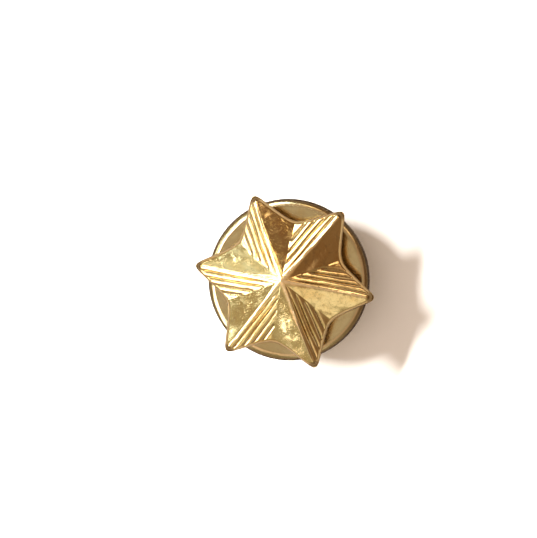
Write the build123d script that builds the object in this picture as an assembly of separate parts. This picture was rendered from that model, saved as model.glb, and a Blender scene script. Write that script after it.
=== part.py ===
from build123d import *
from math import atan2, cos, degrees, radians, sin, tan
import os

# Six-pointed star pin with a soldered post and a sprung two-wing clutch.
# Millimetres. The post runs down the Z axis, the star's apex points to +Z, and the two
# clutch wings spread along X and stand on the plane z = 0.

# ---- driving dimensions: star ----
RAY_COUNT = 6
TIP_RADIUS = 6.48            # centre to the point of a ray, before the point is rounded
NOTCH_RADIUS = 4.24          # centre to the inner corner between two rays
FACE_HEIGHT = 2.1            # apex above the top of the rim band
RIM_HEIGHT = 0.35            # straight band round the star's edge
STAR_SHEET = 0.4             # metal left between the face and the hollow back
TIP_ROUND = 0.22
NOTCH_ROUND = 0.35

# ---- driving dimensions: grooves on one facet of each ray ----
GROOVE_COUNT = 4
GROOVE_FIRST = 0.30          # ridge to the first groove, measured in the facet
GROOVE_PITCH = 0.46
GROOVE_WIDTH = 0.38
GROOVE_DEPTH = 0.12

# ---- driving dimensions: post ----
POST_RADIUS = 0.525
POST_LENGTH = 6.7            # star's back plane to the tip
NOSE_RADIUS = 0.49           # plain end below the catch groove
POINT_LENGTH = 0.7
POINT_FLAT_RADIUS = 0.12
CATCH_ABOVE_TIP = 1.25       # tip to the lower edge of the catch groove
CATCH_LENGTH = 0.5
CATCH_DEPTH = 0.12
FLANGE_RADIUS = 1.6
FLANGE_THICKNESS = 0.35
SOLDER_MARGIN = 0.3          # solder beyond the flange's edge

# ---- driving dimensions: clutch ----
STAR_GAP = 2.1               # disc face to the star's back plane
CLUTCH_HEIGHT = 5.3          # wing tips to the disc face
DISC_RADIUS = 5.7
DISC_SHEET = 0.3
DISC_EDGE_RADIUS = 0.5       # outer radius of the turned-down edge
DISC_SKIRT = 0.75            # face to the lower end of the turned-down edge
HOLE_CLEARANCE = 0.16        # post to the holes in the disc, housing and spring
FUNNEL_DEPTH = 0.14

HOUSING_LENGTH = 5.3         # along X, over the rounded lips
HOUSING_WIDTH = 4.6          # along Y, outside
HOUSING_SHEET = 0.3
HOUSING_DEPTH = 2.25         # disc's lower face to the housing's outer face
HOUSING_CORNER = 0.45        # outer bend radius between the floor and the walls
TAB_LENGTH = 1.0
TAB_OFFSET = 1.35            # middle of the clutch to the middle of a tab
TAB_CLEARANCE = 0.02

WING_SHEET = 0.28
WING_SIDE_CLEARANCE = 0.1    # jaw to each wall
WING_LIP_CLEARANCE = 0.03    # jaw to the lip that it rocks on
WING_SLOPE = 62.0            # degrees below the disc's plane
WING_WIDTH = 4.2             # at the finger end
WING_FLARE_START = 0.4       # beyond the housing's end
WING_FLARE_LENGTH = 0.8
WING_CORNER = 0.7
CURL_RADIUS = 0.4            # middle of the sheet
CURL_TURN = 110.0            # degrees
JAW_GAP = 0.24               # between the two jaws
JAW_CLEARANCE = 0.02         # jaw's notch to the post

SPRING_SHEET = 0.16
SPRING_WIDTH = 3.2
SPRING_HALF_LENGTH = 1.95
SPRING_CLEARANCE = 0.02      # spring to the disc and to the jaws

# ---- derived heights ----
DISC_UNDER_Z = CLUTCH_HEIGHT - DISC_SHEET
HOUSING_FLOOR_Z = DISC_UNDER_Z - HOUSING_DEPTH
BACK_Z = CLUTCH_HEIGHT + STAR_GAP
RIM_TOP_Z = BACK_Z + RIM_HEIGHT
APEX_Z = RIM_TOP_Z + FACE_HEIGHT
POST_TIP_Z = BACK_Z - POST_LENGTH
HOLE_RADIUS = POST_RADIUS + HOLE_CLEARANCE

# ---- derived star geometry ----
HALF_RAY = 180.0 / RAY_COUNT
FULL_PYRAMID = (FACE_HEIGHT + RIM_HEIGHT) / FACE_HEIGHT
FAR = 3 * TIP_RADIUS


def on_circle(radius, angle, z=0.0):
    """A point at an angle, in degrees, round the post."""
    return Vector(radius * cos(radians(angle)), radius * sin(radians(angle)), z)


def star_corners(tip_radius, notch_radius, z=0.0):
    """The points and notches of a star outline, in order."""
    corners = []
    for ray in range(RAY_COUNT):
        corners.append(on_circle(tip_radius, 2 * ray * HALF_RAY, z))
        corners.append(on_circle(notch_radius, (2 * ray + 1) * HALF_RAY, z))
    return corners


def star_pyramid(apex_z, base_z):
    """The solid under the facets: their planes, carried down to a base plane."""
    scale = (apex_z - base_z) / FACE_HEIGHT
    corners = star_corners(TIP_RADIUS * scale, NOTCH_RADIUS * scale, base_z)
    apex = Vector(0, 0, apex_z)
    faces = [Face(Wire.make_polygon(corners))]
    for start, end in zip(corners, corners[1:] + corners[:1]):
        faces.append(Face(Wire.make_polygon([apex, start, end])))
    return Solid(Shell(faces))


def facet_frame():
    """Ridge direction, across direction and normal of the facet from 0 to HALF_RAY degrees."""
    ridge = (on_circle(TIP_RADIUS, 0) - Vector(0, 0, FACE_HEIGHT)).normalized()
    valley = (on_circle(NOTCH_RADIUS, HALF_RAY) - Vector(0, 0, FACE_HEIGHT)).normalized()
    normal = ridge.cross(valley).normalized()
    return ridge, normal.cross(ridge), normal


def rounded_star():
    """The star's outline with rounded points and inner corners."""
    corners = star_corners(TIP_RADIUS, NOTCH_RADIUS)
    outline = make_face(Polyline(*corners, close=True))
    middle = (TIP_RADIUS + NOTCH_RADIUS) / 2
    tips = [v for v in outline.vertices() if Vector(*v).length > middle]
    outline = fillet(tips, TIP_ROUND)
    inner_limit = (NOTCH_RADIUS + middle) / 2
    notches = [v for v in outline.vertices() if Vector(*v).length < inner_limit]
    return fillet(notches, NOTCH_ROUND)


def hollow():
    """The open back of the star: the facets moved in by the sheet, within the rim wall."""
    sheet_drop = STAR_SHEET / facet_frame()[2].Z
    tip = on_circle(TIP_RADIUS, 0)
    notch = on_circle(NOTCH_RADIUS, HALF_RAY)
    edge_angle = degrees(atan2(notch.Y, tip.X - notch.X))
    tip_radius = TIP_RADIUS - STAR_SHEET / sin(radians(edge_angle))
    notch_radius = NOTCH_RADIUS - STAR_SHEET / sin(radians(edge_angle + HALF_RAY))
    inner = make_face(Polyline(*star_corners(tip_radius, notch_radius), close=True))
    column = extrude(Pos(0, 0, BACK_Z) * inner, APEX_Z - BACK_Z)
    return column & star_pyramid(APEX_Z - sheet_drop, BACK_Z)


def groove_cutter():
    """V-shaped cutters along one facet, kept within that facet's sector."""
    ridge, across, normal = facet_frame()
    apex = Vector(0, 0, APEX_Z)
    cutters = []
    for index in range(GROOVE_COUNT):
        middle = apex + across * (GROOVE_FIRST + index * GROOVE_PITCH)
        section = make_face(Polyline(
            middle + across * GROOVE_WIDTH / 2 + normal * GROOVE_DEPTH / 2,
            middle - normal * GROOVE_DEPTH,
            middle - across * GROOVE_WIDTH / 2 + normal * GROOVE_DEPTH / 2,
            close=True))
        cutters.append(extrude(section, FULL_PYRAMID * TIP_RADIUS, dir=ridge))
    sector = make_face(Polyline(
        Vector(0, 0, BACK_Z), on_circle(FAR, 0, BACK_Z), on_circle(FAR, HALF_RAY, BACK_Z),
        close=True))
    return Part() + cutters & extrude(sector, 2 * APEX_Z - BACK_Z)


def star_face():
    column = extrude(Pos(0, 0, BACK_Z) * rounded_star(), 2 * (APEX_Z - BACK_Z))
    star = column & star_pyramid(APEX_Z, BACK_Z)
    star -= hollow()
    cutter = groove_cutter()
    for ray in range(RAY_COUNT):
        star -= Rot(0, 0, 2 * ray * HALF_RAY) * cutter
    return star


def flange_top_z():
    """The height at which the flange just fits inside the hollow's notches."""
    sheet_drop = STAR_SHEET / facet_frame()[2].Z
    side_slope = FACE_HEIGHT / NOTCH_RADIUS
    return APEX_Z - sheet_drop - (FLANGE_RADIUS + SOLDER_MARGIN / 2) * side_slope


def turned(points):
    """A solid turned about the Z axis from (radius, z) corners."""
    return revolve(make_face(Polyline(*[(r, 0, z) for r, z in points], close=True)), Axis.Z)


def post():
    top = flange_top_z()
    under = top - FLANGE_THICKNESS
    catch_z = POST_TIP_Z + CATCH_ABOVE_TIP
    catch_radius = POST_RADIUS - CATCH_DEPTH
    return turned([
        (0, POST_TIP_Z), (POINT_FLAT_RADIUS, POST_TIP_Z),
        (NOSE_RADIUS, POST_TIP_Z + POINT_LENGTH),
        (NOSE_RADIUS, catch_z), (catch_radius, catch_z + CATCH_DEPTH),
        (catch_radius, catch_z + CATCH_LENGTH - CATCH_DEPTH),
        (POST_RADIUS, catch_z + CATCH_LENGTH),
        (POST_RADIUS, under), (FLANGE_RADIUS, under), (FLANGE_RADIUS, top), (0, top)])


def solder():
    """Filler between the flange and the hollow, with a narrow band round the flange's edge."""
    top = flange_top_z()
    low = top - FLANGE_THICKNESS / 2
    radius = FLANGE_RADIUS + SOLDER_MARGIN
    bead = turned([(0, low), (FLANGE_RADIUS, low), (radius, top), (radius, APEX_Z), (0, APEX_Z)])
    flange = turned([(0, low), (FLANGE_RADIUS, low), (FLANGE_RADIUS, top), (0, top)])
    return bead & hollow() - flange


def clutch_disc():
    face_z = CLUTCH_HEIGHT
    edge = DISC_RADIUS - DISC_EDGE_RADIUS
    inner_edge = DISC_EDGE_RADIUS - DISC_SHEET
    bend_z = face_z - DISC_EDGE_RADIUS
    skirt_z = face_z - DISC_SKIRT
    inner_radius = DISC_RADIUS - DISC_SHEET
    funnel_radius = HOLE_RADIUS + FUNNEL_DEPTH
    face_line = Polyline(
        (edge, 0, DISC_UNDER_Z), (HOLE_RADIUS, 0, DISC_UNDER_Z),
        (HOLE_RADIUS, 0, face_z - FUNNEL_DEPTH), (funnel_radius, 0, face_z), (edge, 0, face_z))
    plane = Plane((edge, 0, bend_z), x_dir=(1, 0, 0), z_dir=(0, -1, 0))
    outer_bend = plane * CenterArc((0, 0), DISC_EDGE_RADIUS, 0, 90)
    inner_bend = plane * CenterArc((0, 0), inner_edge, 0, 90)
    skirt = Polyline((DISC_RADIUS, 0, bend_z), (DISC_RADIUS, 0, skirt_z),
                     (inner_radius, 0, skirt_z), (inner_radius, 0, bend_z))
    disc = revolve(make_face([*face_line.edges(), *outer_bend.edges(),
                              *skirt.edges(), *inner_bend.edges()]), Axis.Z)
    for place in tab_places():
        slot = Box(TAB_LENGTH + 2 * TAB_CLEARANCE, HOUSING_SHEET + 2 * TAB_CLEARANCE,
                   3 * DISC_SHEET)
        disc -= place * slot
    return disc


def tab_places():
    """Middles of the four housing tabs, at the disc's mid-thickness."""
    side = (HOUSING_WIDTH - HOUSING_SHEET) / 2
    z = CLUTCH_HEIGHT - DISC_SHEET / 2
    return [Pos(x, y, z) for x in (-TAB_OFFSET, TAB_OFFSET) for y in (-side, side)]


def clutch_housing():
    """A channel under the disc, open at both X ends, with four tabs up into the disc."""
    lip = HOUSING_SHEET / 2
    outer = Rectangle(HOUSING_WIDTH, HOUSING_DEPTH)
    outer = fillet(outer.vertices().group_by(Axis.Y)[0], HOUSING_CORNER)
    inner = Pos(0, HOUSING_SHEET) * Rectangle(HOUSING_WIDTH - 2 * HOUSING_SHEET, HOUSING_DEPTH)
    inner = fillet(inner.vertices().group_by(Axis.Y)[0], HOUSING_CORNER - HOUSING_SHEET)
    section = Plane.YZ * (outer - inner)
    straight = HOUSING_LENGTH - 2 * lip
    middle_z = HOUSING_FLOOR_Z + HOUSING_DEPTH / 2
    housing = Pos(0, 0, middle_z) * extrude(section, straight / 2, both=True)
    lip_length = HOUSING_WIDTH - 2 * HOUSING_CORNER
    for side in (-1, 1):
        edge = Pos(side * straight / 2, 0, HOUSING_FLOOR_Z + lip) * Rot(90, 0, 0)
        housing += edge * Cylinder(lip, lip_length)
    housing -= Pos(0, 0, HOUSING_FLOOR_Z) * Cylinder(HOLE_RADIUS, 3 * HOUSING_SHEET)
    for place in tab_places():
        housing += place * Box(TAB_LENGTH, HOUSING_SHEET, DISC_SHEET)
    return housing


def wing_pivot():
    """X and Z of the lip that the right wing rocks on."""
    return HOUSING_LENGTH / 2 - HOUSING_SHEET / 2, HOUSING_FLOOR_Z + HOUSING_SHEET / 2


def wing_bend_radius():
    return HOUSING_SHEET / 2 + WING_LIP_CLEARANCE + WING_SHEET / 2


def wing():
    """The right wing: a jaw in the housing, a bend over the lip, a finger blade and a curl."""
    pivot_x, pivot_z = wing_pivot()
    bend = wing_bend_radius()
    slope = radians(WING_SLOPE)
    jaw_z = pivot_z + bend
    blade_start = (pivot_x + bend * sin(slope), pivot_z + bend * cos(slope))
    curl_z = CURL_RADIUS + WING_SHEET / 2
    blade_drop = blade_start[1] - (curl_z - CURL_RADIUS * cos(slope))
    blade_end = (blade_start[0] + blade_drop / tan(slope), blade_start[1] - blade_drop)
    curl_x = blade_end[0] + CURL_RADIUS * sin(slope)
    front = Plane.XZ
    path = [
        front * Line((JAW_GAP / 2, jaw_z), (pivot_x, jaw_z)),
        front * CenterArc((pivot_x, pivot_z), bend, 90 - WING_SLOPE, WING_SLOPE),
        front * Line(blade_start, blade_end),
        front * CenterArc((curl_x, curl_z), CURL_RADIUS, 270 - WING_SLOPE, CURL_TURN),
    ]
    strip = Wire([edge for piece in path for edge in piece.edges()])
    start = Plane(origin=(JAW_GAP / 2, 0, jaw_z), x_dir=(0, 1, 0), z_dir=(1, 0, 0))
    sheet = sweep(start * Rectangle(WING_WIDTH, WING_SHEET), path=strip)
    sheet &= wing_outline(curl_x + CURL_RADIUS + WING_SHEET)
    notch = Pos(0, 0, jaw_z) * Cylinder(POST_RADIUS + JAW_CLEARANCE, 3 * WING_SHEET)
    return sheet - notch


def wing_outline(far_x):
    """The wing seen from above: narrow within the housing, flared and rounded outside it."""
    inner_half = HOUSING_WIDTH / 2 - HOUSING_SHEET - WING_SIDE_CLEARANCE
    outer_half = WING_WIDTH / 2
    flare_x = HOUSING_LENGTH / 2 + WING_FLARE_START
    full_x = flare_x + WING_FLARE_LENGTH
    outline = make_face(Polyline(
        (0, -inner_half), (flare_x, -inner_half), (full_x, -outer_half), (far_x, -outer_half),
        (far_x, outer_half), (full_x, outer_half), (flare_x, inner_half), (0, inner_half),
        close=True))
    outline = fillet(outline.vertices().group_by(Axis.X)[-1], WING_CORNER)
    return extrude(outline, CLUTCH_HEIGHT)


def jaw_spring():
    """A bowed leaf between the disc and both jaws."""
    pivot_z = wing_pivot()[1]
    jaw_top = pivot_z + wing_bend_radius() + WING_SHEET / 2
    low_z = jaw_top + SPRING_CLEARANCE + SPRING_SHEET / 2
    high_z = DISC_UNDER_Z - SPRING_CLEARANCE - SPRING_SHEET / 2
    bow = ThreePointArc((-SPRING_HALF_LENGTH, 0, low_z), (0, 0, high_z),
                        (SPRING_HALF_LENGTH, 0, low_z))
    start = Plane(origin=bow @ 0, x_dir=(0, 1, 0), z_dir=bow % 0)
    leaf = sweep(start * Rectangle(SPRING_WIDTH, SPRING_SHEET), path=bow)
    return leaf - Pos(0, 0, high_z) * Cylinder(HOLE_RADIUS, HOUSING_DEPTH)


right_wing = wing()

nodes = {
    "star_face": star_face(),
    "solder": solder(),
    "post": post(),
    "clutch_disc": clutch_disc(),
    "clutch_housing": clutch_housing(),
    "jaw_spring": jaw_spring(),
    "right_wing": right_wing,
    "left_wing": Rot(0, 0, 180) * right_wing,
}

os.makedirs("parts", exist_ok=True)
for name, shape in nodes.items():
    export_step(shape, f"parts/{name}.step")
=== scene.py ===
import math

import bpy
import numpy as np
from mathutils import Matrix, Vector, noise


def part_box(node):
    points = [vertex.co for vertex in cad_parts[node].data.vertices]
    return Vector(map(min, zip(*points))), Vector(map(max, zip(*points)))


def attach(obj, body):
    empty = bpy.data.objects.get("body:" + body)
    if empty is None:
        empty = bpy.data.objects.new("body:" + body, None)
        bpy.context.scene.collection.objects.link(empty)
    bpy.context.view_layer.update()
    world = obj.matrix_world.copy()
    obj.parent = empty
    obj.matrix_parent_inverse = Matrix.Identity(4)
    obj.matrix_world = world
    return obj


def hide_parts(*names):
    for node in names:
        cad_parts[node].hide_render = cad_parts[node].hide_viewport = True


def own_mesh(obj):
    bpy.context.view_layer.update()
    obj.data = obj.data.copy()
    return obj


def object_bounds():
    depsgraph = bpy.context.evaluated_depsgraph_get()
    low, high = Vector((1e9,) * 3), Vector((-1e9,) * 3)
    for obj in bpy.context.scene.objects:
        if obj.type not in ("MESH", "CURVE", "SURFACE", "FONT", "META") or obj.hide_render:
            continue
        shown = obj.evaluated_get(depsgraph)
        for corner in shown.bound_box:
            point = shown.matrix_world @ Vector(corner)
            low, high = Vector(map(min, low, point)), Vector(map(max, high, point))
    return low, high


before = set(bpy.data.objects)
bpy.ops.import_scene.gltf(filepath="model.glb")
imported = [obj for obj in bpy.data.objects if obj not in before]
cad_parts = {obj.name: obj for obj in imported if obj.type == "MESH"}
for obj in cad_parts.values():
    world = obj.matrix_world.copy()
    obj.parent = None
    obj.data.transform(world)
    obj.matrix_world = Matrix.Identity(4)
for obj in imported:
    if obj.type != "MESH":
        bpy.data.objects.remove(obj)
CAD_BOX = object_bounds()

MM = 0.001

# The star has six rays. Each has a ridge, with a smooth facet on its clockwise side and a grooved
# one on its counter-clockwise side.
RAYS = 6
SHARP_TIP = 6.63 * MM           # centre to a point, before the outline is softened
NOTCH = 4.10 * MM               # centre to a notch
FACE_HEIGHT = 2.1 * MM          # apex to the rim
EDGE_HOLLOW = 0.05 * MM         # how far each side of a ray curves inwards
TIP_SOFTNESS = 6.4              # rounding of points and notches, in steps of the outline
STEPS_PER_EDGE = 44
FACE_RINGS = 110
RING_SPREAD = 0.85              # below 1 sets the face's rings closer towards the rim
FACE_SOFTNESS = 0.9             # rounding of the face across a ray, in steps of the outline
EDGE_RADIUS = 0.15 * MM         # where the face turns down into the rim
EDGE_RINGS = 7
RIM_FLARE = 0.07 * MM           # how much wider the rim's foot is than its top
RIM_LIP = 0.06 * MM             # rounding of the rim's foot
SHEET_DROP = 0.45 * MM          # face to the hollow back
WALL_SCALE = 0.9                # the hollow's outline, as a share of the star's
BACK_RINGS = 24
# The first of these paints the rim's side wall dark as shade, for its dark reflection in the disc;
# the other two pale the edges with wear.
RIM_SHADE, EDGE_WEAR, LIP_WEAR = 0.6, 0.15, 0.6
RUB_WIDTH = 0.10 * MM           # the rubbed line along a ridge
RUB_END, RUB_FADE = 5.8 * MM, 0.3 * MM
SMOOTH_RIDGE = 0.07 * MM        # softness of a ridge, on its smooth side
GROOVED_RIDGE = 0.04 * MM       # and on its grooved side
WORN_RIDGE = 0.33 * MM          # more softness near the apex, from rubbing
WORN_LENGTH = 4.6 * MM          # which ends this far along the ridge
TIP_CAP = 5.82 * MM             # where a point begins to bend down
TIP_CAP_LENGTH = 0.38 * MM
TIP_DROP = 0.20 * MM
TIP_SHADE_LENGTH = 0.25 * MM    # length over which the painted shade of a bent-down point sets in
APEX_DENT = 0.01 * MM
APEX_OFF_MIDDLE = np.array([0.18, -0.064]) * MM

GROOVES = 4
GROOVE_FIRST = 0.30 * MM        # ridge to the first groove
GROOVE_PITCH = 0.46 * MM
GROOVE_DEPTH = 0.17 * MM
GROOVE_GATHER = 0.25            # how much closer the grooves lie at the apex
GROOVE_WANDER = 0.16            # sideways unevenness, as a share of the pitch
GROOVE_UNEVEN = 0.5             # unevenness of the depth
UNEVEN_ALONG = 0.45             # how quickly both change along a groove, per mm
GROOVE_SEED, GROOVED_SEED = 3.1, 5.7    # set the grooves of a facet, and the facets, apart
GROOVE_SHARPNESS = 2.3          # higher makes narrower grooves and wider ribs
GROOVE_RUN_OUT = 0.30 * MM      # length over which a groove fades at the rim
GROOVE_AT_RIM = 0.35            # share of its depth that is left there
GROOVE_TO_VALLEY = 0.16 * MM    # length over which it fades at the valley
GROOVE_AT_APEX = 0.25           # share of its depth that is left at the apex
GROOVE_START, GROOVE_FULL_IN = 0.5 * MM, 1.6 * MM   # along the ray: where it grows, and over what

# Unevenness of the hammered surface: height in mm of slow streaks along a ray, and of two sizes of
# dimple with their counts per mm.
STREAK_HEIGHT, STREAK_ALONG, STREAK_ACROSS = 0.078, 0.35, 1.25
DIMPLES = ((0.020, 1.4), (0.005, 4.0))
RAY_SEED, SIDE_SEED = 3, 9.0    # shift the noise, so that no two facets are alike
SWELL_GROWTH = 3                # it grows from nothing at the apex to full at 1/3 of the way out

# An attribute holds, from 0 to 1, the grooves' tarnish deepened as painted shade, and painted
# shade on the bent-down points and the rim's wall; this value paints the hollow back dark as
# shade.
BACK_SHADE = 2

# The bowed leaf over the jaws.
SPRING_SHEET = 0.16 * MM
SPRING_HOLE = 0.685 * MM
SPRING_CORNER = 0.35 * MM
SPRING_END_LIFT = 0.3           # of the end's middle above the box, as a share of half the sheet
SPRING_ROWS, SPRING_COLUMNS = 40, 30

# The post's radii, and its heights above the point, in mm.
SHANK, NOSE, WAIST, POINT = 0.525, 0.49, 0.405, 0.05
NOSE_START, WAIST_START, WAIST_END = 0.7, 1.25, 1.75
FLANGE_SHEET = 0.35
POST_ROUNDING = 0.06


# ---------------------------------------------------------------- meshes

def new_object(name, points, faces):
    mesh = bpy.data.meshes.new(name)
    mesh.from_pydata([tuple(p) for p in points], [], faces)
    mesh.update()
    mesh.polygons.foreach_set("use_smooth", [True] * len(mesh.polygons))
    made = bpy.data.objects.new(name, mesh)
    bpy.context.collection.objects.link(made)
    return made


def float_attribute(made, name, values):
    made.data.attributes.new(name, "FLOAT", "POINT").data.foreach_set(
        "value", np.asarray(values, dtype=np.float32))


def closed_rings(rings):
    """Points and faces of a closed skin. The first and last items are poles, the others rings."""
    first, middle, last = rings[0], rings[1:-1], rings[-1]
    count = len(middle[0])
    points = np.vstack([np.array([first])] + list(middle) + [np.array([last])])
    faces = []
    for k in range(count):
        faces.append((0, 1 + k, 1 + (k + 1) % count))
    for i in range(len(middle) - 1):
        a, b = 1 + i * count, 1 + (i + 1) * count
        for k in range(count):
            n = (k + 1) % count
            faces.append((a + k, b + k, b + n, a + n))
    end, pole = 1 + (len(middle) - 1) * count, len(points) - 1
    for k in range(count):
        faces.append((end + k, pole, end + (k + 1) % count))
    return points, faces


def smoothed_loop(values, sigma):
    """A closed loop of values, averaged with its neighbours under a bell curve."""
    reach = max(1, int(3 * sigma))
    shifts = range(-reach, reach + 1)
    weights = [math.exp(-0.5 * (j / sigma) ** 2) for j in shifts]
    total = sum(weights)
    return sum(np.roll(values, j, axis=0) * (w / total) for j, w in zip(shifts, weights))


def star_loop(reach):
    """The star's outline, with its points at `reach` from the centre."""
    corners = []
    for i in range(2 * RAYS):
        radius = NOTCH if i % 2 else SHARP_TIP
        angle = math.pi * i / RAYS
        corners.append(np.array([math.cos(angle), math.sin(angle)]) * radius)
    loop = []
    for i in range(2 * RAYS):
        a, b = corners[i], corners[(i + 1) % (2 * RAYS)]
        inward = np.array([-(b - a)[1], (b - a)[0]]) / np.linalg.norm(b - a)
        for j in range(STEPS_PER_EDGE):
            t = j / STEPS_PER_EDGE
            loop.append(a + (b - a) * t + inward * EDGE_HOLLOW * math.sin(math.pi * t))
    loop = smoothed_loop(np.array(loop), TIP_SOFTNESS)
    return loop * (reach / loop[:, 0].max())


def ray_frame(xy):
    """Each point's distance along its ray's ridge, and off it, counter-clockwise positive."""
    angle = np.arctan2(xy[:, 1], xy[:, 0])
    step = 2 * math.pi / RAYS
    ray = np.round(angle / step)
    off = angle - ray * step
    radius = np.hypot(xy[:, 0], xy[:, 1])
    return radius * np.cos(off), radius * np.sin(off), ray


def groove_depth(along, off, ray):
    """0 on the crest of a rib, 1 in the narrow bottom between two ribs."""
    gather = 1 - GROOVE_GATHER + GROOVE_GATHER * along / SHARP_TIP
    turn = (off / gather - GROOVE_FIRST) / GROOVE_PITCH
    uneven = np.zeros_like(along)
    for k in np.nonzero((off > 0) & (turn < GROOVES))[0]:
        groove = float(np.round(turn[k]))
        place = (along[k] / MM * UNEVEN_ALONG, groove * GROOVE_SEED, ray[k] * GROOVED_SEED)
        uneven[k] = noise.noise(Vector(place))
    turn = turn + GROOVE_WANDER * uneven
    depth = (1 - np.abs(np.sin(math.pi * turn))) ** GROOVE_SHARPNESS * (1 + GROOVE_UNEVEN * uneven)
    depth[(turn < -0.5) | (turn > GROOVES - 0.5)] = 0
    half_step = math.pi / RAYS
    to_valley = along * math.sin(half_step) - off * math.cos(half_step)
    worn_middle = np.clip((along - GROOVE_START) / GROOVE_FULL_IN, GROOVE_AT_APEX, 1)
    return depth * np.clip(to_valley / GROOVE_TO_VALLEY, 0, 1) * worn_middle


def swell(x, y, along, off, ray):
    """Height of the surface's unevenness, in mm."""
    spot = Vector((x, y, ray * RAY_SEED * MM)) / MM
    streak = Vector((along * STREAK_ALONG / MM, abs(off) * STREAK_ACROSS / MM,
                     ray * RAY_SEED + (SIDE_SEED if off > 0 else 0.0)))
    height = STREAK_HEIGHT * noise.noise(streak)
    for size, count in DIMPLES:
        height += size * noise.noise(spot * count)
    return height


def star_piece(name):
    """The stamped star: face, rim and hollow back in one closed skin of star-shaped rings."""
    lo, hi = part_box("star_face")
    loop = star_loop(hi.x)
    notch_along = NOTCH * math.cos(math.pi / RAYS)
    notch_off = NOTCH * math.sin(math.pi / RAYS)
    apothem = SHARP_TIP * notch_off / math.dist((SHARP_TIP, 0), (notch_along, notch_off))
    fall_along = FACE_HEIGHT / SHARP_TIP
    fall_off = (FACE_HEIGHT - fall_along * notch_along) / notch_off

    def top(s, grooved=True):
        """The face's height and tarnish along the outline scaled by s."""
        xy = loop * s
        along, off, ray = ray_frame(xy)
        soft = np.where(off < 0, SMOOTH_RIDGE, GROOVED_RIDGE)
        soft = soft + WORN_RIDGE * np.clip(1 - along / WORN_LENGTH, 0, 1)
        drop = fall_along * along + fall_off * (np.sqrt(off ** 2 + soft ** 2) - soft)
        depth = np.zeros(len(xy))
        if grooved:
            run_out = np.clip((1 - s) * apothem / GROOVE_RUN_OUT, 0, 1)
            depth = groove_depth(along, off, ray) * (GROOVE_AT_RIM + (1 - GROOVE_AT_RIM) * run_out)
        bend = np.clip((along - TIP_CAP) / TIP_CAP_LENGTH, 0, 1)
        z = hi.z - drop - GROOVE_DEPTH * depth - TIP_DROP * bend ** 2
        z = smoothed_loop(z, FACE_SOFTNESS)
        for k, (x, y) in enumerate(xy):
            z[k] += swell(x, y, along[k], off[k], ray[k]) * MM * min(1, s * SWELL_GROWTH)
        return z, depth, along, off

    rings, shade_and_tarnish, worn = [(*APEX_OFF_MIDDLE, hi.z - APEX_DENT)], [0.0], [1.0]

    def add(s, z, stain_and_shade, along, off, wear):
        rings.append(np.column_stack([loop * s + APEX_OFF_MIDDLE * (1 - s), z]))
        shade_and_tarnish.extend(stain_and_shade)
        ridge = np.exp(-(off / RUB_WIDTH) ** 2) * np.clip((RUB_END - along) / RUB_FADE, 0, 1)
        worn.extend(np.clip(np.maximum(ridge, wear), 0, 1))

    # Painted shade on each point, growing over the part that bends down.
    def tip_shade(along):
        return np.clip((along - TIP_CAP) / TIP_SHADE_LENGTH, 0, 1)

    rim_top = 1 - RIM_FLARE / apothem
    flat_end = rim_top - EDGE_RADIUS / apothem
    for i in range(FACE_RINGS):
        s = flat_end * ((i + 1) / FACE_RINGS) ** RING_SPREAD
        z, depth, along, off = top(s)
        add(s, z, np.maximum(depth, tip_shade(along)), along, off, 0.0)
    for j in range(EDGE_RINGS):
        turn = math.pi / 2 * (j + 1) / EDGE_RINGS
        s = flat_end + (rim_top - flat_end) * math.sin(turn)
        z, depth, along, off = top(s)
        z = z - EDGE_RADIUS * (1 - math.cos(turn))
        add(s, z, tip_shade(along), along, off, EDGE_WEAR)

    edge_z = rings[-1][:, 2]
    level = np.ones(len(loop))
    rim_along, rim_off, _ = ray_frame(loop)
    # The rim's side wall, painted dark as shade.
    for share in (0.4, 0.8):
        z = edge_z + (lo.z + RIM_LIP - edge_z) * share
        add(rim_top + (1 - rim_top) * share, z, level * RIM_SHADE, rim_along, rim_off, 0.0)
    for turn in (0, 45, 90):
        a = math.radians(turn)
        s = 1 - RIM_LIP * (1 - math.cos(a)) / apothem
        z = level * (lo.z + RIM_LIP * (1 - math.sin(a)))
        add(s, z, level * 0, rim_along, rim_off, LIP_WEAR)
    # The rim's flat foot, and then the wall of the hollow, with heights in mm, painted dark as
    # shade like the hollow back.
    for s, rise in ((0.93, 0.0), (WALL_SCALE + 0.012, 0.0), (WALL_SCALE, 0.03), (WALL_SCALE, 0.2)):
        add(s, level * (lo.z + rise * MM), level * BACK_SHADE, rim_along, rim_off, 0.0)
    for i in range(BACK_RINGS):
        s = WALL_SCALE * (1 - i / BACK_RINGS)
        z, depth, along, off = top(s, grooved=False)
        add(s, z - SHEET_DROP, level * BACK_SHADE, along, level * MM, 0.0)

    rings.append((*APEX_OFF_MIDDLE, hi.z - SHEET_DROP))
    shade_and_tarnish.append(0.0)
    worn.append(0.0)
    points, faces = closed_rings(rings)
    made = new_object(name, points, faces)
    float_attribute(made, "shade_and_tarnish", shade_and_tarnish)
    float_attribute(made, "worn", worn)
    return made


def turned(name, profile, steps=96):
    """A solid of revolution about Z from (radius, height) in mm, on the axis at both ends."""
    angle = np.arange(steps) * 2 * math.pi / steps
    rings = [(0, 0, profile[0][1] * MM)]
    for radius, height in profile[1:-1]:
        rings.append(np.column_stack([radius * np.cos(angle), radius * np.sin(angle),
                                      np.full(steps, height)]) * MM)
    rings.append((0, 0, profile[-1][1] * MM))
    points, faces = closed_rings(rings)
    return new_object(name, points, [tuple(reversed(f)) for f in faces])


def rounded(profile, radius, steps=5):
    """The profile with its corners cut to small arcs, as tumbling leaves them."""
    made = [profile[0]]
    for before, corner, after in zip(profile, profile[1:], profile[2:]):
        a, c, b = (Vector(p).to_2d() for p in (before, corner, after))
        cut = min(radius, (a - c).length * 0.45, (b - c).length * 0.45)
        start, end = c + (a - c).normalized() * cut, c + (b - c).normalized() * cut
        for i in range(steps + 1):
            t = i / steps
            made.append(tuple(start * (1 - t) ** 2 + c * 2 * t * (1 - t) + end * t ** 2))
    made.append(profile[-1])
    return made


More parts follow.
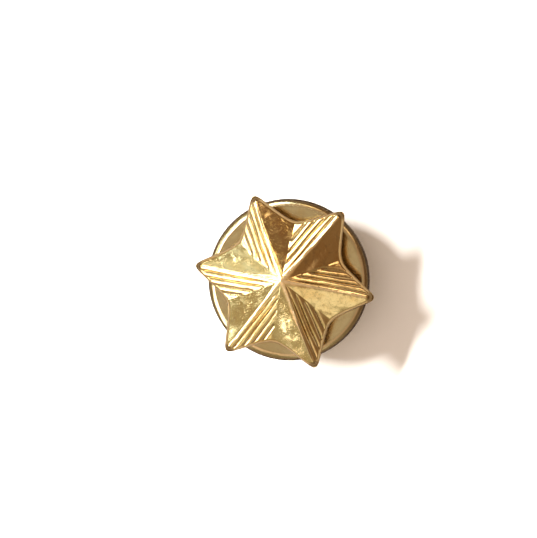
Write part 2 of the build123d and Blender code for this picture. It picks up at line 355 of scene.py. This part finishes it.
def spring_half(name, side):
    """Half of the bowed leaf, from its middle to one jaw, closed, with half of the post's hole."""
    lo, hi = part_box("jaw_spring")
    half_sheet = SPRING_SHEET / 2
    reach, sag = hi.x - half_sheet, hi.z - lo.z - (1 + SPRING_END_LIFT) * half_sheet
    bow = (reach ** 2 + sag ** 2) / (2 * sag)
    middle_z = hi.z - half_sheet - bow
    wide, rows, columns = hi.y, SPRING_ROWS, SPRING_COLUMNS
    points = []
    for skin in (half_sheet, -half_sheet):
        for i in range(rows + 1):
            y = -wide + 2 * wide * i / rows
            start = math.asin(math.sqrt(max(0.0, SPRING_HOLE ** 2 - y * y)) / bow)
            over = max(0.0, abs(y) - (wide - SPRING_CORNER))
            cut = SPRING_CORNER - math.sqrt(max(0.0, SPRING_CORNER ** 2 - over * over))
            end = math.asin(reach / bow) - cut / bow
            for j in range(columns + 1):
                a = start + (end - start) * j / columns
                points.append((side * (bow + skin) * math.sin(a), y,
                               middle_z + (bow + skin) * math.cos(a)))

    step, below = columns + 1, (rows + 1) * (columns + 1)
    faces = []
    for i in range(rows):
        for j in range(columns):
            a = i * step + j
            quad = (a, a + 1, a + step + 1, a + step)
            faces += [quad, tuple(v + below for v in reversed(quad))]
        for a, b in ((i * step, (i + 1) * step), ((i + 1) * step + columns, i * step + columns)):
            faces.append((a, b, b + below, a + below))
    for j in range(columns):
        for a, b in ((j + 1, j), (rows * step + j, rows * step + j + 1)):
            faces.append((a, b, b + below, a + below))
    if side < 0:
        faces = [tuple(reversed(f)) for f in faces]
    made = new_object(name, points, faces)
    made.data.set_sharp_from_angle(angle=math.radians(40))
    return made


# ---------------------------------------------------------------- materials

class Nodes:
    """A short way to write a node tree."""

    def __init__(self, name, world=False):
        self.owner = (bpy.data.worlds if world else bpy.data.materials).new(name)
        self.owner.use_nodes = True
        self.tree = self.owner.node_tree
        self.tree.nodes.clear()

    def put(self, value, socket):
        if isinstance(value, bpy.types.NodeSocket):
            self.tree.links.new(value, socket)
        else:
            socket.default_value = value

    def add(self, kind, **inputs):
        node = self.tree.nodes.new(kind)
        for key, value in inputs.items():
            self.put(value, node.inputs[key.replace("_", " ")])
        return node

    def calc(self, operation, a, b=0.0, clamp=False):
        node = self.tree.nodes.new("ShaderNodeMath")
        node.operation, node.use_clamp = operation, clamp
        self.put(a, node.inputs[0])
        self.put(b, node.inputs[1])
        return node.outputs[0]

    def vector_calc(self, operation, a, b=None):
        node = self.tree.nodes.new("ShaderNodeVectorMath")
        node.operation = operation
        self.put(a, node.inputs[0])
        if b is not None:
            self.put(b, node.inputs[1])
        return node.outputs["Value"]

    def spread(self, value, lo, hi, to_lo=0.0, to_hi=1.0):
        """to_lo where value is below lo, to_hi where it is above hi, and smooth between."""
        node = self.add("ShaderNodeMapRange", Value=value, From_Min=lo, From_Max=hi,
                        To_Min=to_lo, To_Max=to_hi)
        node.interpolation_type = "SMOOTHSTEP"
        return node.outputs["Result"]

    def mix(self, share, a, b):
        """Colour a where share is 0, and b where it is 1."""
        node = self.tree.nodes.new("ShaderNodeMix")
        node.data_type = "RGBA"
        for index, value in ((0, share), (6, a), (7, b)):
            self.put(value, node.inputs[index])
        return node.outputs[2]

    def mix_shader(self, share, a, b):
        node = self.add("ShaderNodeMixShader", Fac=share)
        self.put(a, node.inputs[1])
        self.put(b, node.inputs[2])
        return node.outputs[0]

    def place(self, scale, turn=(0, 0, 0)):
        """Object coordinates times scale, so a scale of 1000 counts in millimetres."""
        coord = self.add("ShaderNodeTexCoord").outputs["Object"]
        node = self.add("ShaderNodeMapping", Vector=coord)
        node.inputs["Rotation"].default_value = [math.radians(t) for t in turn]
        node.inputs["Scale"].default_value = scale
        return node.outputs["Vector"]

    def noise(self, vector, scale, detail=4.0, rough=0.55, distortion=0.0):
        node = self.add("ShaderNodeTexNoise", Vector=vector, Scale=scale, Detail=detail,
                        Roughness=rough, Distortion=distortion)
        return node.outputs["Fac"]

    def attribute(self, name):
        node = self.tree.nodes.new("ShaderNodeAttribute")
        node.attribute_name = name
        return node.outputs["Fac"]

    def bump(self, height, distance, strength=1.0, normal=None):
        node = self.add("ShaderNodeBump", Height=height, Distance=distance, Strength=strength)
        if normal is not None:
            self.put(normal, node.inputs["Normal"])
        return node.outputs["Normal"]

    def path(self, kind):
        return self.tree.nodes.new("ShaderNodeLightPath").outputs[kind]

    def finish(self, surface):
        out = self.add("ShaderNodeOutputWorld" if isinstance(self.owner, bpy.types.World)
                       else "ShaderNodeOutputMaterial")
        self.put(surface, out.inputs["Surface"])
        return self.owner


IN_MM = (1000.0,) * 3
SCRATCH_TURNS = (12, 65, 118, 160)
SCRATCH_SCALE, SCRATCH_STRETCH, SCRATCH_WIDTH = 5200.0, 0.035, 0.012
MICRO_BUMP = 0.0012 * MM
PALE_SCRATCH = (0.98, 0.86, 0.58, 1)
RUBBED_BRASS = (0.99, 0.88, 0.62, 1)
# Painted shade for the star's hollow back.
INSIDE_SHADE = (0.20, 0.13, 0.07, 1)
# Painted shade for the disc's rolled edge.
ROLLED_EDGE_SHADE = (0.42, 0.31, 0.16, 1)
DISC_TOP_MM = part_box("clutch_disc")[1].z / MM


def scratches(n):
    """Fine straight scratches in a few directions: narrow bands of stretched noise."""
    total = None
    across = SCRATCH_SCALE * SCRATCH_STRETCH
    for index, turn in enumerate(SCRATCH_TURNS):
        vector = n.place((SCRATCH_SCALE, across, across), (0, 0, turn))
        band = n.noise(vector, 1.0, detail=2.0, rough=0.4)
        line = n.calc("ABSOLUTE", n.calc("SUBTRACT", band, 0.5 + 0.03 * index))
        line = n.spread(line, 0.0, SCRATCH_WIDTH, 1.0, 0.0)
        total = line if total is None else n.calc("MAXIMUM", total, line)
    return total


def brass(name, clean, deep, tarnish, rough, pit, mottle=0.55, scratch=0.6, with_wear_and_shade=False,
          painted_rim_shade=None):
    """
    Polished metal from clean to deep in colour, with blotches of tarnish, pits and scratches.
    The wear flag adds rubbing, and tarnish with painted shade, from the mesh's attributes. The rim
    pair of radii in mm sets where the disc's edge is painted dark as shade, with a darker band
    within it.
    """
    n = Nodes(name)
    mm = n.place(IN_MM)
    broad = n.noise(mm, 0.55, detail=5.0, rough=0.6, distortion=0.4)
    blotch = n.noise(mm, 2.3, detail=6.0, rough=0.62, distortion=0.6)
    grain = n.noise(mm, 9.0, detail=5.0, rough=0.6)
    micro = n.noise(mm, 38.0, detail=3.0, rough=0.5)
    patch = n.spread(n.noise(mm, 0.8, detail=2.0), 0.42, 0.62)
    lines = n.calc("MULTIPLY", scratches(n), n.calc("MULTIPLY", patch, scratch))

    colour = n.mix(n.spread(broad, 0.38, 0.66), clean, deep)
    stain_and_shade = n.calc("MULTIPLY", n.spread(blotch, 0.50, 0.72), mottle, clamp=True)
    if with_wear_and_shade:
        # The grooves' tarnish deepened as painted shade, and painted shade on the points, the
        # rim's wall and the back.
        hollow = n.attribute("shade_and_tarnish")
        tarnish_and_shade = n.calc("MULTIPLY", n.spread(hollow, 0.12, 0.80), 0.9)
        stain_and_shade = n.calc("MAXIMUM", stain_and_shade, tarnish_and_shade, clamp=True)
    # Painted shade: seen from above, the disc's outer edge is painted near black, where it mirrors
    # the shadowed floor.
    if painted_rim_shade:
        radius = n.vector_calc("LENGTH", n.place((1000.0, 1000.0, 0.0)))
        height_mm = n.add("ShaderNodeSeparateXYZ", Vector=mm).outputs["Z"]
        upper = n.spread(height_mm, DISC_TOP_MM - 0.60, DISC_TOP_MM - 0.40)
        rim = n.calc("MULTIPLY", n.spread(radius, *painted_rim_shade), upper)
        stain_and_shade = n.calc("MAXIMUM", stain_and_shade, rim, clamp=True)
        # Painted shade: the rolled band within the edge is painted a darker brass, which dims the
        # highlight it mirrors.
        rolled = n.spread(radius, painted_rim_shade[0] - 0.5, painted_rim_shade[0] - 0.2)
        colour = n.mix(n.calc("MULTIPLY", rolled, 0.65), colour, ROLLED_EDGE_SHADE)
    colour = n.mix(stain_and_shade, colour, tarnish)
    colour = n.mix(n.calc("MULTIPLY", lines, 0.16), colour, PALE_SCRATCH)

    roughness = n.spread(blotch, 0.35, 0.70, *rough)
    roughness = n.calc("ADD", roughness, n.calc("MULTIPLY", lines, 0.10))
    roughness = n.calc("ADD", roughness, n.calc("MULTIPLY", stain_and_shade, 0.10), clamp=True)
    if painted_rim_shade:
        roughness = n.calc("ADD", roughness, n.calc("MULTIPLY", rolled, 0.10))
    if with_wear_and_shade:
        colour = n.mix(n.calc("MULTIPLY", n.attribute("worn"), 0.45), colour, RUBBED_BRASS)
        # The star's hollow back is painted dark as shade.
        back_shade = n.spread(hollow, 1.2, 1.8)
        colour = n.mix(back_shade, colour, INSIDE_SHADE)
        roughness = n.calc("ADD", roughness, n.calc("MULTIPLY", back_shade, 0.25))

    pits = n.spread(grain, 0.30, 0.46)
    height = n.calc("ADD", n.calc("MULTIPLY", pits, 0.6), n.calc("MULTIPLY", blotch, 0.9))
    normal = n.bump(height, pit * MM)
    normal = n.bump(micro, MICRO_BUMP, normal=normal)
    normal = n.bump(n.calc("MULTIPLY", lines, -1.0), MICRO_BUMP, normal=normal)
    shader = n.add("ShaderNodeBsdfPrincipled", Base_Color=colour, Roughness=roughness,
                   Metallic=1.0, Normal=normal)
    return n.finish(shader.outputs[0])


def dress(made, material):
    made.data.materials.clear()
    made.data.materials.append(material)


# ---------------------------------------------------------------- build

# The star's tarnish colour also paints the shade in its grooves, on its points, on its rim's wall
# and on its back.
star_brass = brass(
    "star_brass", (0.94, 0.73, 0.37, 1), (0.88, 0.62, 0.27, 1), (0.23, 0.14, 0.05, 1),
    rough=(0.09, 0.19), pit=0.003, mottle=0.32, with_wear_and_shade=True, scratch=0.35)
# The disc's near-black tarnish colour also paints the shade on its outer edge.
disc_brass = brass(
    "disc_brass", (0.81, 0.65, 0.37, 1), (0.73, 0.56, 0.29, 1), (0.085, 0.055, 0.035, 1),
    rough=(0.05, 0.11), pit=0.002, mottle=0.12, painted_rim_shade=(5.54, 5.62))
housing_brass = brass(
    "housing_brass", (0.82, 0.66, 0.40, 1), (0.70, 0.52, 0.28, 1), (0.42, 0.30, 0.15, 1),
    rough=(0.15, 0.30), pit=0.004)
wing_brass = brass(
    "wing_brass", (0.83, 0.67, 0.41, 1), (0.74, 0.56, 0.31, 1), (0.45, 0.33, 0.17, 1),
    rough=(0.12, 0.26), pit=0.004, mottle=0.4)
spring_bronze = brass(
    "spring_bronze", (0.72, 0.48, 0.28, 1), (0.62, 0.38, 0.20, 1), (0.35, 0.22, 0.12, 1),
    rough=(0.18, 0.32), pit=0.003)
post_brass = brass(
    "post_brass", (0.84, 0.70, 0.46, 1), (0.76, 0.60, 0.36, 1), (0.46, 0.34, 0.18, 1),
    rough=(0.14, 0.26), pit=0.003)
solder_alloy = brass(
    "solder_alloy", (0.62, 0.61, 0.60, 1), (0.50, 0.49, 0.49, 1), (0.30, 0.28, 0.26, 1),
    rough=(0.30, 0.48), pit=0.012)

star = star_piece("stamped_star")
dress(star, star_brass)
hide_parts("star_face")
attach(star, "star")

post_lo, post_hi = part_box("post")
foot, head, flange = post_lo.z / MM, post_hi.z / MM, post_hi.x / MM
post_piece = turned("turned_post", rounded([
    (0, foot), (POINT, foot),
    (NOSE, foot + NOSE_START), (NOSE, foot + WAIST_START),
    (WAIST, foot + WAIST_START), (WAIST, foot + WAIST_END),
    (SHANK, foot + WAIST_END), (SHANK, head - FLANGE_SHEET),
    (flange, head - FLANGE_SHEET), (flange, head), (0, head)], POST_ROUNDING))
dress(post_piece, post_brass)
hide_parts("post")
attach(post_piece, "star")

for side, hand in ((1, "right"), (-1, "left")):
    leaf = spring_half(hand + "_spring_half", side)
    dress(leaf, spring_bronze)
    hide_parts("jaw_spring")
    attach(leaf, "clutch")
    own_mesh(leaf)

KEPT = {"clutch_disc": disc_brass, "clutch_housing": housing_brass, "right_wing": wing_brass,
        "left_wing": wing_brass, "solder": solder_alloy}
for node_name, material in KEPT.items():
    for material_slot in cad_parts[node_name].material_slots:
        material_slot.material = material

# ---------------------------------------------------------------- floor

FLOOR_HALF = 3.0
FLOOR_GAP = 0.02 * MM
floor = new_object("floor", [(x * FLOOR_HALF, y * FLOOR_HALF, CAD_BOX[0].z - FLOOR_GAP)
                             for x, y in ((-1, -1), (1, -1), (1, 1), (-1, 1))], [(0, 1, 2, 3)])
n = Nodes("paper_white")
fibre = n.noise(n.place(IN_MM), 1.4, detail=6.0)
tint = n.mix(fibre, (0.90, 0.89, 0.88, 1), (0.93, 0.92, 0.915, 1))
paper = n.add("ShaderNodeBsdfPrincipled", Base_Color=tint, Roughness=0.9,
              Specular_IOR_Level=0.1, Normal=n.bump(fibre, 0.01 * MM, 0.4)).outputs[0]
# The brass would mirror a white floor as a glow round every edge, so reflections see a dim one.
# From below the floor is clear, so that views of the underside aren't blocked.
dim = n.add("ShaderNodeBsdfDiffuse", Color=(0.20, 0.17, 0.14, 1)).outputs[0]
clear = n.add("ShaderNodeBsdfTransparent").outputs[0]
from_above = n.mix_shader(n.path("Is Glossy Ray"), paper, dim)
below = n.add("ShaderNodeNewGeometry").outputs["Backfacing"]
dress(floor, n.finish(n.mix_shader(below, from_above, clear)))

# ---------------------------------------------------------------- light

PICTURE_TURN = math.radians(-109.6)   # picture right, as an angle from +X
RIGHT = Vector((math.cos(PICTURE_TURN), math.sin(PICTURE_TURN), 0))
UP = Vector((-math.sin(PICTURE_TURN), math.cos(PICTURE_TURN), 0))
STAR_MIDDLE = Vector((0, 0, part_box("star_face")[0].z + 0.35 * MM))


def toward(azimuth, elevation):
    """Direction at an angle from picture right, counter-clockwise, and above the floor."""
    a, e = math.radians(azimuth), math.radians(elevation)
    return (RIGHT * math.cos(a) + UP * math.sin(a)) * math.cos(e) + Vector((0, 0, math.sin(e)))


def soft_box(name, azimuth, elevation, distance, size, radiance, colour, mirrored):
    """An area light. The brass either mirrors it, or is lit by it as the floor is."""
    lamp = bpy.data.lights.new(name, "AREA")
    lamp.shape = "RECTANGLE"
    lamp.size, lamp.size_y = size
    lamp.energy = radiance * math.pi * size[0] * size[1]
    lamp.color = colour
    made = bpy.data.objects.new(name, lamp)
    bpy.context.collection.objects.link(made)
    direction = toward(azimuth, elevation)
    made.location = STAR_MIDDLE + direction * distance
    made.rotation_euler = direction.to_track_quat("Z", "Y").to_euler()
    made.visible_camera = False
    made.visible_diffuse = not mirrored
    made.visible_glossy = mirrored


# Name, azimuth and elevation in degrees, distance and size in metres, radiance, colour.
LIGHTS = (
    ("key", 159, 53, 0.6, (0.24, 0.05), 315.0, (1.0, 0.97, 0.92)),
    ("fill", 0, 89, 1.5, (1.0, 1.0), 1.8, (1.0, 0.82, 0.73)),
)
MIRRORED = (
    ("key_gloss", 168, 62, 0.6, (0.42, 0.18), 8.5, (0.86, 0.97, 1.0)),
    ("left_low", 164, 28, 0.7, (0.20, 0.20), 3.9, (0.80, 0.95, 1.0)),
    ("low_front", -80, 34, 0.7, (0.30, 0.26), 0.56, (1.0, 0.97, 0.88)),
    ("back_hot", 106, 33, 0.7, (0.19, 0.28), 11.0, (0.80, 0.96, 1.0)),
    ("back_soft", 129, 29, 0.7, (0.14, 0.24), 0.62, (0.68, 0.90, 1.0)),
    ("back_band", 143, 43, 0.7, (0.14, 0.05), 7.0, (0.88, 0.98, 1.0)),
    ("back_strip", 130, 56, 0.7, (0.30, 0.05), 12.0, (0.86, 0.95, 1.0)),
    ("low_left", -143, 27.5, 0.7, (0.18, 0.26), 5.2, (0.92, 0.98, 1.0)),
    ("warm_right", 43, 40, 0.7, (0.17, 0.16), 2.6, (1.0, 0.80, 0.58)),
    ("warm_streak", 80, 45, 0.7, (0.10, 0.12), 4.5, (1.0, 0.84, 0.52)),
    ("ridge_left", -156, 41, 0.7, (0.17, 0.12), 13.0, (0.92, 0.99, 1.0)),
)
for light in LIGHTS:
    soft_box(*light, mirrored=False)
for light in MIRRORED:
    soft_box(*light, mirrored=True)

w = Nodes("studio", world=True)
direction = w.add("ShaderNodeTexCoord").outputs["Generated"]
height = w.add("ShaderNodeSeparateXYZ", Vector=direction).outputs["Z"]


def lobe(azimuth, elevation, inner, outer):
    """1 within `inner` degrees of a direction, falling to 0 at `outer`."""
    dot = w.vector_calc("DOT_PRODUCT", direction, toward(azimuth, elevation))
    return w.spread(dot, math.cos(math.radians(outer)), math.cos(math.radians(inner)))


def above(lo, hi):
    """0 below the elevation lo, 1 above hi."""
    return w.spread(height, math.sin(math.radians(lo)), math.sin(math.radians(hi)))


# What the brass mirrors between the lights: brown low down, a bright ring, and a dimmer top.
low = w.mix(lobe(25, 20, 25, 95), (0.42, 0.37, 0.25, 1), (0.20, 0.115, 0.06, 1))
low = w.mix(above(0, 20), (0.20, 0.15, 0.11, 1), low)
ring = w.mix(lobe(15, 40, 30, 100), (1.75, 1.42, 1.20, 1), (0.62, 0.46, 0.35, 1))
shade = w.mix(above(44, 56), low, ring)
shade = w.mix(above(70, 80), shade, (0.50, 0.43, 0.33, 1))
shade = w.mix(w.path("Is Camera Ray"), shade, (0.93, 0.92, 0.91, 1))
background = w.add("ShaderNodeBackground", Color=shade, Strength=1.0)
bpy.context.scene.world = w.finish(background.outputs[0])

# ---------------------------------------------------------------- camera

LENS = 240.5
SENSOR = 36.0
DISTANCE = 0.25
CAMERA_TILT = math.radians(7.06)      # away from straight above the star
LEAN = (RIGHT * 0.916 + UP * 0.40).normalized()
AIM = STAR_MIDDLE - RIGHT * 1.09 * MM + UP * 0.90 * MM
back = LEAN * math.sin(CAMERA_TILT) + Vector((0, 0, math.cos(CAMERA_TILT)))
across = (RIGHT - back * RIGHT.dot(back)).normalized()
camera_data = bpy.data.cameras.new("camera")
camera_data.lens, camera_data.sensor_width = LENS, SENSOR
camera_data.clip_start, camera_data.clip_end = 0.01, 10.0
camera = bpy.data.objects.new("camera", camera_data)
bpy.context.collection.objects.link(camera)
rotation = Matrix((across, back.cross(across), back)).transposed()
camera.matrix_world = Matrix.Translation(AIM + back * DISTANCE) @ rotation.to_4x4()
bpy.context.scene.camera = camera
bpy.context.scene.view_settings.view_transform = "Standard"
